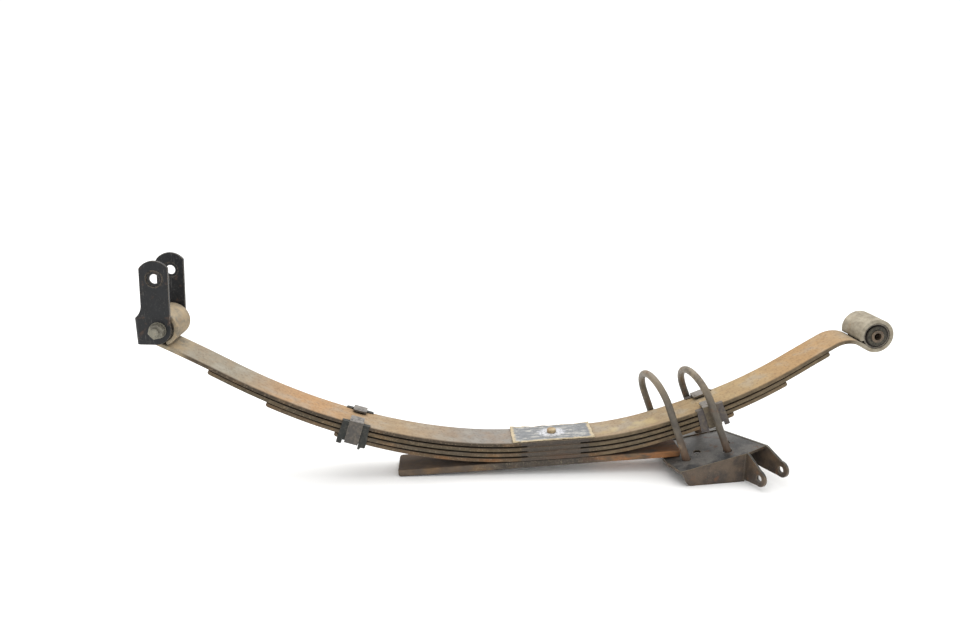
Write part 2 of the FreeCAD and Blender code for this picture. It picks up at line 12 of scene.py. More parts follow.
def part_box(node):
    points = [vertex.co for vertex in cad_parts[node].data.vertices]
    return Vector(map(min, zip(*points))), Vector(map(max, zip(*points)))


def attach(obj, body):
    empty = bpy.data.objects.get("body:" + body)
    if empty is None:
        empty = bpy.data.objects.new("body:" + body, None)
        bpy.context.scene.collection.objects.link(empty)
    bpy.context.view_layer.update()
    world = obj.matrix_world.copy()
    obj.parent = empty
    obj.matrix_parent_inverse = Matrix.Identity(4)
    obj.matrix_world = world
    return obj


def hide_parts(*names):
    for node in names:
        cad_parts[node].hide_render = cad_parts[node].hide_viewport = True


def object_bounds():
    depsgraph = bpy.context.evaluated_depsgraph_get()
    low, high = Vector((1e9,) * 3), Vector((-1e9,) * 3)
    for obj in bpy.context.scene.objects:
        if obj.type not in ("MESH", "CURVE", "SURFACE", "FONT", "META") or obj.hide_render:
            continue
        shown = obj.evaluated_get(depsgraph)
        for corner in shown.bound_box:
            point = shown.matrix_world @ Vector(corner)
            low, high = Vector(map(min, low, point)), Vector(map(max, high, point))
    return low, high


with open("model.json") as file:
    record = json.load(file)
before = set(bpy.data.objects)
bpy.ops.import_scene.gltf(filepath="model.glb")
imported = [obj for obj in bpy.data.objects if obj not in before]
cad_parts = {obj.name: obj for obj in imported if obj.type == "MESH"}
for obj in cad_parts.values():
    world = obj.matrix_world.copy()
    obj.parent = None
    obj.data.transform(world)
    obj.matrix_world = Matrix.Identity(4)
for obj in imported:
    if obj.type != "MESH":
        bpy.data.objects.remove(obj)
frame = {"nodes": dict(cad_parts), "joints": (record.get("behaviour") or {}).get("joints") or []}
cad_low, cad_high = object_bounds()
nodes = frame["nodes"]
joints = {joint["name"]: joint for joint in frame["joints"]}

# The spring's length runs along X, from the rear eye to the front eye at the origin. Y is across it, Z is up.
REAR_X = joints["shackle_swing"]["pos_m"][0]
PAD_LOW, PAD_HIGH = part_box("seat_pad")
LEAF_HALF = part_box("second_leaf")[1].y
FLOOR_Z = cad_low.z


# ---------------------------------------------------------------- procedural materials

def srgb(red, green, blue):
    """A colour given as 0-255 display values, as the linear colour that the shader takes."""
    def linear(value):
        value = value / 255
        return value / 12.92 if value <= 0.04045 else ((value + 0.055) / 1.055) ** 2.4
    return (linear(red), linear(green), linear(blue), 1.0)


# Painted shade: how far into gaps and corners the darkening reaches, and the dark colour it paints there.
CREVICE_REACH = 0.009
CREVICE_SHADE_COLOUR = srgb(26, 22, 19)


class Paint:
    """One procedural material. Every pattern is laid in the object's own space, in metres."""

    def __init__(self, name, specular):
        self.material = bpy.data.materials.new(name)
        self.material.use_nodes = True
        self.tree = self.material.node_tree
        self.shader = self.tree.nodes["Principled BSDF"]
        self.shader.inputs["Specular IOR Level"].default_value = specular
        coords = self.add("ShaderNodeTexCoord")
        self.place = coords.outputs["Object"]
        self.x, self.y, self.z = self.parts(self.place)
        self.facing_x, self.facing_y, self.facing_z = self.parts(coords.outputs["Normal"])

    def add(self, kind, **settings):
        node = self.tree.nodes.new(kind)
        for key, value in settings.items():
            setattr(node, key, value)
        return node

    def feed(self, socket, value):
        """Links an output to the socket, or sets the socket's own value."""
        if isinstance(value, bpy.types.NodeSocket):
            self.tree.links.new(value, socket)
        elif socket.type == "VECTOR":
            socket.default_value = value[:3]
        else:
            socket.default_value = value

    def parts(self, vector):
        split = self.add("ShaderNodeSeparateXYZ")
        self.feed(split.inputs[0], vector)
        return split.outputs

    def calc(self, operation, first, second=0.0):
        node = self.add("ShaderNodeMath", operation=operation)
        self.feed(node.inputs[0], first)
        self.feed(node.inputs[1], second)
        return node.outputs[0]

    def fade(self, value, start, end):
        """0 where value is at start, 1 where it is at end, smooth in between. end may be below start."""
        flip = end < start
        node = self.add("ShaderNodeMapRange", interpolation_type="SMOOTHSTEP")
        self.feed(node.inputs["Value"], value)
        node.inputs["From Min"].default_value = min(start, end)
        node.inputs["From Max"].default_value = max(start, end)
        node.inputs["To Min"].default_value = 1.0 if flip else 0.0
        node.inputs["To Max"].default_value = 0.0 if flip else 1.0
        return node.outputs["Result"]

    def band(self, value, low, high, soft):
        """1 between low and high, with soft ends."""
        return self.calc("MULTIPLY", self.fade(value, low - soft, low), self.fade(value, high + soft, high))

    def away(self, value):
        return self.calc("ABSOLUTE", value)

    def shift(self, stretch, offset):
        """The object's own space, stretched and moved, so that no two patterns match."""
        node = self.add("ShaderNodeMapping")
        self.feed(node.inputs["Vector"], self.place)
        node.inputs["Scale"].default_value = stretch
        node.inputs["Location"].default_value = offset
        return node.outputs[0]

    def cloud(self, size, detail=5.0, rough=0.6, stretch=(1, 1, 1), seed=0.0, twist=0.0):
        """Cloudy noise, about 0.2 to 0.8, with blotches about size metres across."""
        node = self.add("ShaderNodeTexNoise")
        self.feed(node.inputs["Vector"], self.shift(stretch, (seed, seed * 0.7, seed * 1.3)))
        node.inputs["Scale"].default_value = 1 / size
        node.inputs["Detail"].default_value = detail
        node.inputs["Roughness"].default_value = rough
        node.inputs["Distortion"].default_value = twist
        return node.outputs["Fac"]

    def cells(self, size, seed, feature="F1"):
        """Distance within scattered cells about size metres across."""
        node = self.add("ShaderNodeTexVoronoi", feature=feature)
        self.feed(node.inputs["Vector"], self.shift((1, 1, 1), (seed, seed * 0.6, seed * 1.7)))
        node.inputs["Scale"].default_value = 1 / size
        return node.outputs["Distance"]

    def specks(self, size, share, seed):
        """Small round specks. share is about how large each is within its cell."""
        return self.fade(self.cells(size, seed), share, share * 0.55)

    def ramp(self, value, start, end, stops):
        """Colours along value. Each stop is (value, colour)."""
        node = self.add("ShaderNodeValToRGB")
        node.color_ramp.interpolation = "EASE"
        spread = self.add("ShaderNodeMapRange")
        self.feed(spread.inputs["Value"], value)
        spread.inputs["From Min"].default_value = start
        spread.inputs["From Max"].default_value = end
        self.feed(node.inputs["Fac"], spread.outputs["Result"])
        elements = node.color_ramp.elements
        while len(elements) < len(stops):
            elements.new(0.5)
        for element, (at, colour) in zip(elements, stops):
            element.position = (at - start) / (end - start)
        for element, (at, colour) in zip(elements, stops):
            element.color = colour
        return node.outputs["Color"]

    def blend(self, share, under, over):
        """over laid on under, as strongly as share."""
        node = self.add("ShaderNodeMix", data_type="RGBA")
        self.feed(node.inputs["Factor"], share)
        self.feed(node.inputs[6], under)
        self.feed(node.inputs[7], over)
        return node.outputs[2]

    def tint(self, colour, pattern, dark, light):
        """Darkens and lightens a colour by a pattern, from dark to light times its value."""
        node = self.add("ShaderNodeMapRange")
        self.feed(node.inputs["Value"], pattern)
        node.inputs["From Min"].default_value = 0.25
        node.inputs["From Max"].default_value = 0.75
        node.inputs["To Min"].default_value = dark
        node.inputs["To Max"].default_value = light
        scale = self.add("ShaderNodeVectorMath", operation="SCALE")
        self.feed(scale.inputs[0], colour)
        self.feed(scale.inputs["Scale"], node.outputs["Result"])
        return scale.outputs[0]

    def edges(self, radius):
        """1 along the edges of the shape, within about radius metres of them."""
        bevel = self.add("ShaderNodeBevel", samples=4)
        bevel.inputs["Radius"].default_value = radius
        geometry = self.add("ShaderNodeNewGeometry")
        match = self.add("ShaderNodeVectorMath", operation="DOT_PRODUCT")
        self.feed(match.inputs[0], bevel.outputs[0])
        self.feed(match.inputs[1], geometry.outputs["Normal"])
        return self.fade(match.outputs["Value"], 0.98, 0.8)

    def crevice_shade_mask(self, reach):
        """1 deep in gaps and corners narrower than about reach metres, 0 in the open: where shade is painted.
        """
        node = self.add("ShaderNodeAmbientOcclusion", samples=6)
        node.inputs["Distance"].default_value = reach
        return self.fade(node.outputs["AO"], 0.72, 0.22)

    def both(self, first, second):
        return self.calc("MULTIPLY", first, second)

    def either(self, first, second):
        return self.calc("MAXIMUM", first, second)

    def scaled(self, share, amount):
        return self.calc("MULTIPLY", share, amount)

    def sum(self, *pairs):
        """The sum of (value, weight) pairs."""
        total = 0.0
        for value, weight in pairs:
            total = self.calc("ADD", self.calc("MULTIPLY", value, weight), total)
        return total

    def finish(self, colour, rough, height, depth, crevice_shade=0.8):
        """Colour, roughness and a bump of depth metres from height. The last argument sets how strongly
        painted shade darkens the gaps and corners.
        """
        # Painted shade: gaps and corners are blended towards a dark colour.
        if crevice_shade:
            colour = self.blend(self.scaled(self.crevice_shade_mask(CREVICE_REACH), crevice_shade), colour, CREVICE_SHADE_COLOUR)
        self.feed(self.shader.inputs["Base Color"], colour)
        self.feed(self.shader.inputs["Roughness"], rough)
        bump = self.add("ShaderNodeBump")
        bump.inputs["Strength"].default_value = 1.0
        bump.inputs["Distance"].default_value = depth
        self.feed(bump.inputs["Height"], height)
        self.feed(self.shader.inputs["Normal"], bump.outputs[0])
        return self.material


def along(share):
    """The X that lies this share of the way from the rear eye to the front eye."""
    return REAR_X * (1 - share)


def leaf_steel(name, stops, side, side_rust, rust_share, seed):
    """A spring leaf: dust and light rust on top, darker sides, dark contact stains at the seat."""
    paint = Paint(name, specular=0.25)
    blotch = paint.cloud(0.045, seed=seed)
    mottle = paint.cloud(0.009, seed=seed + 3, stretch=(0.6, 1, 1))
    grain = paint.cloud(0.0016, detail=3, seed=seed + 5)
    streak = paint.cloud(0.006, stretch=(0.12, 1, 1), seed=seed + 7)
    pits = paint.specks(0.0055, 0.42, seed)
    worn = paint.fade(paint.away(paint.y), LEAF_HALF - 0.0035, LEAF_HALF - 0.0005)
    on_top = paint.fade(paint.facing_z, 0.3, 0.75)

    top = paint.ramp(paint.x, along(-0.03), along(1.03), stops)
    top = paint.blend(paint.scaled(paint.fade(blotch, 0.42, 0.66), 0.32), top, srgb(150, 119, 84))
    top = paint.blend(paint.scaled(paint.fade(blotch, 0.5, 0.34), 0.4), top, srgb(158, 152, 140))
    top = paint.tint(top, mottle, 0.84, 1.13)
    top = paint.tint(top, streak, 0.93, 1.06)
    top = paint.blend(paint.scaled(pits, 0.25), top, srgb(96, 70, 50))
    top = paint.blend(paint.scaled(worn, 0.6), top, srgb(88, 74, 60))

    rusty = paint.fade(paint.cloud(0.05, seed=seed + 11), 0.62 - rust_share * 0.3, 0.72)
    flank = paint.blend(rusty, side, side_rust)
    flank = paint.tint(flank, mottle, 0.58, 1.2)
    flank = paint.blend(paint.scaled(paint.specks(0.004, 0.4, seed + 2), 0.3), flank, srgb(150, 132, 110))

    # Painted light: forward of the seat the leaf sides are lightened, as if more strongly lit.
    lit_forward_flank = paint.fade(paint.x, PAD_HIGH.x - 0.012, PAD_HIGH.x + 0.02)
    flank = paint.blend(paint.scaled(lit_forward_flank, 0.5), flank, paint.tint(srgb(114, 100, 77), mottle, 0.6, 1.35))

    colour = paint.blend(on_top, flank, top)
    stain = paint.band(paint.x, PAD_LOW.x + 0.018, PAD_HIGH.x - 0.012, 0.004)
    stain = paint.both(stain, paint.fade(on_top, 1.0, 0.0))
    colour = paint.blend(paint.scaled(stain, 0.65), colour, srgb(70, 66, 64))
    rough = paint.sum((mottle, 0.25), (0.62, 1.0))
    height = paint.sum((mottle, 0.5), (grain, 0.3), (pits, -0.35))
    return paint, colour, rough, height


def main_leaf_finish():
    stops = [
        (along(-0.03), srgb(148, 138, 120)),
        (along(0.08), srgb(142, 134, 118)),
        (along(0.19), srgb(172, 136, 98)),
        (along(0.31), srgb(158, 138, 111)),
        (along(0.45), srgb(136, 132, 126)),
        (along(0.63), srgb(156, 138, 113)),
        (along(0.80), srgb(163, 141, 105)),
        (along(0.91), srgb(166, 134, 94)),
        (along(1.01), srgb(162, 146, 122)),
    ]
    paint, colour, rough, height = leaf_steel(
        "main_leaf_steel", stops, srgb(76, 66, 54), srgb(104, 84, 62), 0.5, 1.0
    )
    # Grey and brown stains wrap both eyes.
    eye = paint.either(paint.fade(paint.x, -0.045, -0.02), paint.fade(paint.x, REAR_X + 0.045, REAR_X + 0.02))
    wrap = paint.cloud(0.012, detail=7, seed=21.0, stretch=(1, 0.6, 1), twist=0.4)
    barrel = paint.blend(paint.fade(wrap, 0.3, 0.74), srgb(174, 166, 148), srgb(124, 116, 101))
    tan = paint.both(paint.fade(paint.x, REAR_X + 0.06, REAR_X + 0.03), paint.fade(wrap, 0.7, 0.35))
    barrel = paint.blend(paint.scaled(tan, 0.6), barrel, srgb(176, 148, 106))
    brown = paint.fade(paint.cloud(0.02, detail=6, seed=22.0), 0.52, 0.7)
    barrel = paint.blend(paint.scaled(brown, 0.4), barrel, srgb(146, 120, 88))
    barrel = paint.tint(barrel, paint.cloud(0.004, seed=23.0), 0.88, 1.08)
    colour = paint.blend(paint.scaled(eye, 0.85), colour, barrel)
    # A few soft, pale yellow dust smears beside the seat, blurred together.
    spot = paint.both(
        paint.band(paint.x, PAD_HIGH.x + 0.02, PAD_HIGH.x + 0.10, 0.02),
        paint.band(paint.y, -0.014, 0.008, 0.012),
    )
    smear = paint.both(
        paint.fade(paint.cloud(0.03, detail=1, seed=31.0), 0.42, 0.62), paint.fade(paint.facing_z, 0.4, 0.8)
    )
    colour = paint.blend(paint.scaled(paint.both(spot, smear), 0.42), colour, srgb(196, 176, 128))
    return paint.finish(colour, rough, height, 0.0005)


def lower_leaf_finish(name, top, tip, side, side_rust, rust_share, seed):
    stops = [(along(-0.03), tip), (along(0.3), top), (along(0.6), top), (along(1.03), tip)]
    paint, colour, rough, height = leaf_steel(name, stops, side, side_rust, rust_share, seed)
    return paint.finish(colour, rough, height, 0.0005)


def overload_finish():
    """The thick straight leaf: its top darkened as painted shade from the leaves above, brown-orange rust on
    its sides from the seat forwards.
    """
    paint = Paint("overload_steel", specular=0.3)
    mottle = paint.cloud(0.01, seed=41.0, stretch=(0.6, 1, 1))
    grain = paint.cloud(0.0018, detail=3, seed=42.0)
    brown = paint.fade(paint.cloud(0.05, seed=43.0), 0.4, 0.62)
    base = paint.blend(brown, srgb(88, 78, 68), srgb(112, 90, 66))
    orange = paint.band(paint.x, PAD_HIGH.x - 0.004, PAD_HIGH.x + 0.16, 0.03)
    orange = paint.both(orange, paint.fade(paint.cloud(0.012, seed=44.0, stretch=(0.25, 1, 1)), 0.38, 0.6))
    colour = paint.blend(paint.scaled(orange, 0.85), base, srgb(150, 102, 62))
    black = paint.band(paint.x, PAD_LOW.x - 0.012, PAD_HIGH.x - 0.006, 0.02)
    colour = paint.blend(paint.scaled(black, 0.75), colour, srgb(58, 54, 50))
    dust = paint.fade(paint.cloud(0.0032, detail=7, rough=0.75, seed=45.0), 0.53, 0.62)
    flecks = paint.both(dust, paint.band(paint.x, PAD_LOW.x - 0.05, PAD_HIGH.x, 0.03))
    colour = paint.blend(paint.scaled(flecks, 0.4), colour, srgb(158, 146, 118))
    # Painted shade: upward-facing faces are darkened, as if shaded by the leaves above.
    up = paint.fade(paint.facing_z, 0.5, 0.9)
    colour = paint.blend(paint.scaled(up, 0.45), colour, srgb(70, 58, 50))
    colour = paint.tint(colour, mottle, 0.7, 1.25)
    edge = paint.edges(0.0016)
    colour = paint.blend(paint.scaled(edge, 0.35), colour, srgb(150, 122, 92))
    height = paint.sum((mottle, 0.7), (grain, 0.3))
    return paint.finish(colour, paint.sum((mottle, 0.3), (0.55, 1.0)), height, 0.0006)


def black_paint_finish():
    """The shackle: worn blue-black paint, dust in fine specks, bare brown edges."""
    paint = Paint("shackle_paint", specular=0.33)
    mottle = paint.cloud(0.012, seed=51.0)
    dust = paint.cloud(0.0035, detail=6, rough=0.75, seed=52.0)
    colour = paint.tint(srgb(27, 28, 30), mottle, 0.65, 1.4)
    scuff = paint.both(paint.fade(dust, 0.55, 0.68), paint.fade(paint.cloud(0.02, seed=53.0), 0.4, 0.6))
    colour = paint.blend(paint.scaled(scuff, 0.42), colour, srgb(112, 108, 102))
    scratch = paint.fade(paint.cloud(0.004, stretch=(2.2, 1, 0.16), seed=54.0), 0.64, 0.7)
    colour = paint.blend(paint.scaled(scratch, 0.45), colour, srgb(112, 110, 106))
    rust = paint.fade(paint.cloud(0.016, seed=55.0), 0.6, 0.7)
    colour = paint.blend(paint.scaled(rust, 0.45), colour, srgb(84, 62, 48))
    edge = paint.both(paint.edges(0.0018), paint.fade(dust, 0.4, 0.52))
    colour = paint.blend(paint.scaled(edge, 0.75), colour, srgb(136, 122, 104))
    rough = paint.sum((scuff, 0.3), (mottle, 0.2), (0.36, 1.0))
    height = paint.sum((dust, 0.5), (mottle, 0.5), (scuff, 0.4))
    return paint.finish(colour, rough, height, 0.0004)


def worn_steel_finish(name, base, dark, light, rust, rust_share, seed):
    """Bare or plated steel that has gone dull: mottled, dirt in patches, rust spots, bright worn edges."""
    paint = Paint(name, specular=0.45)
    mottle = paint.cloud(0.006, seed=seed)
    grain = paint.cloud(0.0014, detail=3, seed=seed + 1)
    patch = paint.cloud(0.02, seed=seed + 2)
    colour = paint.blend(paint.fade(patch, 0.42, 0.6), base, dark)
    colour = paint.tint(colour, mottle, 0.75, 1.25)
    spots = paint.fade(paint.cloud(0.011, detail=7, rough=0.7, seed=seed + 3), 0.66 - 0.25 * rust_share, 0.72)
    colour = paint.blend(paint.scaled(spots, 0.8), colour, rust)
    edge = paint.both(paint.edges(0.001), paint.fade(mottle, 0.35, 0.5))
    colour = paint.blend(paint.scaled(edge, 0.7), colour, light)
    height = paint.sum((mottle, 0.5), (grain, 0.35), (spots, 0.4))
    return paint.finish(colour, paint.sum((mottle, 0.25), (spots, 0.2), (0.4, 1.0)), height, 0.0003)


def rod_finish(name, seed):
    """A U-bolt: brown-grey rod, rustier towards its feet. Both bolts go by the rear one's height."""
    paint = Paint(name, specular=0.5)
    low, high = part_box("ubolt_rear")
    mottle = paint.cloud(0.008, seed=seed, stretch=(1, 1, 0.5))
    grain = paint.cloud(0.0015, detail=3, seed=seed + 1)
    patch = paint.cloud(0.03, seed=seed + 2)
    colour = paint.blend(paint.fade(patch, 0.4, 0.62), srgb(90, 82, 70), srgb(66, 60, 52))
    colour = paint.blend(paint.scaled(paint.fade(patch, 0.42, 0.3), 0.55), colour, srgb(148, 132, 108))
    # Painted highlight: towards its crown the rod is lightened to a pale tan in patches.
    lit_crown = paint.both(paint.fade(paint.z, high.z - 0.05, high.z - 0.01), paint.fade(patch, 0.35, 0.55))
    colour = paint.blend(paint.scaled(lit_crown, 0.6), colour, srgb(142, 128, 106))
    foot = paint.fade(paint.z, low.z + 0.085, low.z + 0.03)
    rust = paint.either(foot, paint.fade(paint.cloud(0.018, detail=7, seed=seed + 4), 0.56, 0.68))
    colour = paint.blend(paint.scaled(rust, 0.5), colour, srgb(108, 74, 48))
    colour = paint.tint(colour, mottle, 0.78, 1.22)
    height = paint.sum((mottle, 0.6), (grain, 0.4))
    return paint.finish(colour, paint.sum((mottle, 0.3), (rust, 0.15), (0.32, 1.0)), height, 0.00035)


def bracket_finish():
    """The pressed bracket: dark grey-blue deck, brown flanges, tan edges with a painted highlight along them,
    and a painted sheen on the deck towards its far side.
    """
    paint = Paint("bracket_steel", specular=0.4)
    mottle = paint.cloud(0.01, seed=71.0)
    grain = paint.cloud(0.0022, detail=4, rough=0.7, seed=72.0)
    patch = paint.cloud(0.035, seed=73.0)
    deck = paint.blend(paint.fade(patch, 0.4, 0.62), srgb(48, 49, 50), srgb(96, 93, 89))
    deck = paint.blend(paint.scaled(paint.fade(grain, 0.56, 0.66), 0.4), deck, srgb(140, 136, 128))
    low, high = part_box("shock_bracket")
    # Painted sheen: the deck is lightened towards its far side, as a reflection there.
    far = paint.fade(paint.y, low.y + 0.035, high.y - 0.03)
    deck = paint.blend(paint.scaled(far, 0.55), deck, paint.tint(srgb(124, 121, 116), grain, 0.75, 1.2))
    flange = paint.blend(paint.fade(patch, 0.38, 0.6), srgb(86, 72, 58), srgb(62, 53, 46))
    flange = paint.blend(paint.scaled(paint.fade(grain, 0.58, 0.7), 0.4), flange, srgb(150, 132, 108))
    colour = paint.blend(paint.fade(paint.facing_z, 0.4, 0.8), flange, deck)
    colour = paint.tint(colour, mottle, 0.74, 1.26)
    rust = paint.fade(paint.cloud(0.02, detail=7, seed=74.0), 0.58, 0.7)
    colour = paint.blend(paint.scaled(rust, 0.5), colour, srgb(120, 82, 54))
    # The edges are lightened to tan: the sheet's own tan cut edges, and a painted highlight along its rounded
    # bends.
    edge = paint.both(paint.edges(0.0018), paint.fade(mottle, 0.32, 0.46))
    colour = paint.blend(paint.scaled(edge, 0.7), colour, srgb(138, 124, 98))
    rough = paint.sum((mottle, 0.25), (rust, 0.25), (0.3, 1.0))
    return paint.finish(colour, rough, paint.sum((mottle, 0.5), (grain, 0.5)), 0.0005)


def rubber_finish():
    """Old bush rubber: grey-brown dust over black, with fine cracks and a dark ring of painted shade round
    its outer edge.
    """
    paint = Paint("bush_rubber_old", specular=0.3)
    mottle = paint.cloud(0.004, seed=81.0)
    cracks = paint.fade(paint.cells(0.004, 82.0, feature="DISTANCE_TO_EDGE"), 0.06, 0.0)
    radius = paint.calc(
        "SQRT", paint.calc("ADD", paint.both(paint.x, paint.x), paint.both(paint.z, paint.z))
    )
    dust = paint.fade(mottle, 0.35, 0.65)
    colour = paint.blend(dust, srgb(48, 45, 40), srgb(82, 78, 66))
    # Painted shade: a dark ring on the rubber's face, where the gap between the eye and the rubber lip lies
    # in shadow.
    ring = paint.band(radius, 0.0165, 0.0195, 0.0008)
    colour = paint.blend(paint.scaled(ring, 0.7), colour, srgb(40, 33, 29))
    colour = paint.blend(paint.scaled(cracks, 0.6), colour, srgb(30, 27, 25))
    height = paint.sum((mottle, 0.6), (cracks, -0.6))
    return paint.finish(colour, paint.sum((dust, 0.2), (0.6, 1.0)), height, 0.0004)


def liner_finish(name, base, chalky):
    """The moulded clip liner: dark and mottled, chalky where it is worn."""
    paint = Paint(name, specular=0.35)
    mottle = paint.cloud(0.005, seed=91.0)
    chalk = paint.cloud(0.012, detail=6, rough=0.7, seed=92.0)
    colour = paint.blend(paint.fade(chalk, 0.46, 0.64), base, chalky)
    colour = paint.tint(colour, mottle, 0.78, 1.24)
    edge = paint.both(paint.edges(0.0012), paint.fade(mottle, 0.34, 0.5))
    colour = paint.blend(paint.scaled(edge, 0.5), colour, srgb(132, 126, 116))
    return paint.finish(colour, paint.sum((chalk, 0.3), (0.42, 1.0)), paint.sum((mottle, 1.0)), 0.00025)


def strap_finish(name, base, worn):
    """The sheet clip: dull zinc gone brown, whitish oxide on its folded tabs."""
    paint = Paint(name, specular=0.45)
    mottle = paint.cloud(0.005, seed=95.0)
    oxide = paint.cloud(0.01, detail=6, rough=0.7, seed=96.0)
    colour = paint.blend(paint.fade(oxide, 0.44, 0.62), base, worn)
    up = paint.fade(paint.facing_z, 0.4, 0.8)
    white = paint.both(up, paint.fade(oxide, 0.36, 0.52))
    colour = paint.blend(paint.scaled(white, 0.8), colour, srgb(132, 127, 121))
    colour = paint.tint(colour, mottle, 0.76, 1.22)
    edge = paint.both(paint.edges(0.0012), paint.fade(mottle, 0.3, 0.46))
    colour = paint.blend(paint.scaled(edge, 0.6), colour, srgb(164, 152, 134))
    return paint.finish(colour, paint.sum((oxide, 0.3), (0.42, 1.0)), paint.sum((mottle, 1.0)), 0.0003)


def pad_finish():
    """The thin seat sheet: blue-grey worn zinc, cream dust round its border, a white oval round the bolt."""
    paint = Paint("seat_sheet_zinc", specular=0.5)
    centre = (PAD_LOW + PAD_HIGH) / 2
    half_x, half_y = (PAD_HIGH.x - PAD_LOW.x) / 2, (PAD_HIGH.y - PAD_LOW.y) / 2
    across = paint.away(paint.calc("SUBTRACT", paint.y, centre.y))
    length = paint.away(paint.calc("SUBTRACT", paint.x, centre.x))
    fray = paint.cloud(0.008, detail=6, rough=0.7, seed=101.0)
    wobble = paint.calc("MULTIPLY", paint.calc("SUBTRACT", fray, 0.5), 0.012)
    border = paint.either(
        paint.fade(paint.calc("ADD", across, wobble), half_y - 0.006, half_y - 0.002),
        paint.fade(paint.calc("ADD", length, wobble), half_x - 0.009, half_x - 0.004),
    )
    scratch = paint.fade(paint.cloud(0.006, detail=7, rough=0.75, stretch=(0.3, 1, 1), seed=102.0), 0.5, 0.62)
    colour = paint.tint(srgb(112, 114, 116), fray, 0.66, 1.3)
    colour = paint.blend(paint.scaled(scratch, 0.75), colour, srgb(196, 192, 182))
    oval = paint.calc(
        "ADD",
        paint.calc("POWER", paint.calc("DIVIDE", length, 0.024), 2.0),
        paint.calc("POWER", paint.calc("DIVIDE", across, 0.017), 2.0),
    )
    oval = paint.fade(paint.calc("ADD", oval, paint.calc("MULTIPLY", wobble, 150.0)), 1.25, 0.55)
    oval = paint.both(oval, paint.fade(paint.cloud(0.004, detail=5, seed=103.0), 0.36, 0.52))
    colour = paint.blend(paint.scaled(oval, 0.85), colour, srgb(204, 204, 208))
    colour = paint.blend(border, colour, paint.tint(srgb(186, 170, 140), fray, 0.8, 1.15))
    rough = paint.sum((border, 0.3), (fray, 0.25), (0.3, 1.0))
    return paint.finish(colour, rough, paint.sum((fray, 0.7), (scratch, 0.3)), 0.0004)


def coat(material, *names):
    """Gives CAD nodes a material in place of the plain one they came with."""
    for name in names:
        for slot in nodes[name].material_slots:
            slot.link = "OBJECT"
            slot.material = material


coat(main_leaf_finish(), "main_leaf")
# Each lower leaf: its top in the middle and at the tips, its sides and their rust, how rusty, pattern seed.
LOWER_LEAVES = (
    ("second_leaf", srgb(104, 92, 76), srgb(136, 116, 88), srgb(88, 78, 62), srgb(112, 92, 66), 0.5, 4.0),
    ("third_leaf", srgb(98, 86, 70), srgb(128, 108, 82), srgb(90, 80, 66), srgb(116, 92, 66), 0.6, 6.0),
    ("fourth_leaf", srgb(94, 80, 66), srgb(122, 98, 74), srgb(96, 82, 64), srgb(124, 90, 60), 0.7, 8.0),
)
for leaf, *look in LOWER_LEAVES:
    leaf_finish = lower_leaf_finish(f"{leaf}_steel", *look)
    coat(leaf_finish, leaf)
# The shims match the leaf made last, the fourth.
coat(leaf_finish, "centre_shim")
coat(overload_finish(), "overload_leaf")
coat(black_paint_finish(), "shackle")
nut_zinc = worn_steel_finish(
    "nut_zinc", base=srgb(126, 122, 108), dark=srgb(96, 92, 82), light=srgb(176, 170, 152),
    rust=srgb(116, 92, 66), rust_share=0.25, seed=61.0,
)
coat(nut_zinc, "shackle_nut", "shackle_bolt", "shackle_washer")
coat(rod_finish("rod_rear_steel", 65.0), "ubolt_rear")
coat(rod_finish("rod_front_steel", 68.0), "ubolt_front")
coat(bracket_finish(), "shock_bracket")
coat(rubber_finish(), "front_bush_rubber", "rear_bush_rubber")
bush_shell_old = worn_steel_finish(
    "bush_shell_old", base=srgb(120, 112, 100), dark=srgb(84, 78, 70), light=srgb(172, 162, 144),
    rust=srgb(112, 84, 60), rust_share=0.5, seed=85.0,
)
coat(bush_shell_old, "front_bush_shell", "rear_bush_shell")
bush_sleeve_old = worn_steel_finish(
    "bush_sleeve_old", base=srgb(104, 88, 70), dark=srgb(76, 64, 52), light=srgb(160, 142, 116),
    rust=srgb(110, 76, 50), rust_share=0.6, seed=87.0,
)
coat(bush_sleeve_old, "front_bush_sleeve", "rear_bush_sleeve")
coat(liner_finish("rear_liner_moulding", srgb(36, 38, 35), srgb(64, 62, 57)), "rear_clip_liner")
coat(liner_finish("front_liner_moulding", srgb(84, 78, 76), srgb(104, 94, 82)), "front_clip_liner")
coat(strap_finish("rear_strap_steel", srgb(70, 66, 62), srgb(92, 85, 76)), "rear_clip_strap")
coat(strap_finish("front_strap_steel", srgb(84, 74, 60), srgb(106, 94, 74)), "front_clip_strap")
bolt_rust = worn_steel_finish(
    "bolt_rust", base=srgb(182, 162, 126), dark=srgb(146, 122, 88), light=srgb(214, 198, 166),
    rust=srgb(128, 92, 58), rust_share=0.35, seed=111.0,
)
coat(bolt_rust, "centre_bolt", "centre_bolt_nut", "rear_clip_rivet", "front_clip_rivet")


# ---------------------------------------------------------------- added pieces

def new_piece(name, mesh, material, body):
    """Puts a mesh in the scene, with its material, on one of the frame's bodies."""
    piece = bpy.data.objects.new(name, mesh)
    bpy.context.scene.collection.objects.link(piece)
    piece.data.materials.append(material)
    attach(piece, body)
    return piece


SHEET_STEPS_X, SHEET_STEPS_Y = 96, 44
SHEET_THICK = 0.0016
SHEET_INSET = 0.0008
SHEET_DROP = 0.0003
# The rim frays over the last few hundredths of the sheet's half length and half width.
FRAY_AT_ENDS = 0.0016
FRAY_AT_SIDES = 0.0026
FRAY_END_FROM = 0.97
FRAY_SIDE_FROM = 0.94
RIPPLE_X = 60
RIPPLE_Y = 75
WAVE_HEIGHT = 0.0011
CORNER_LIFT = 0.0024


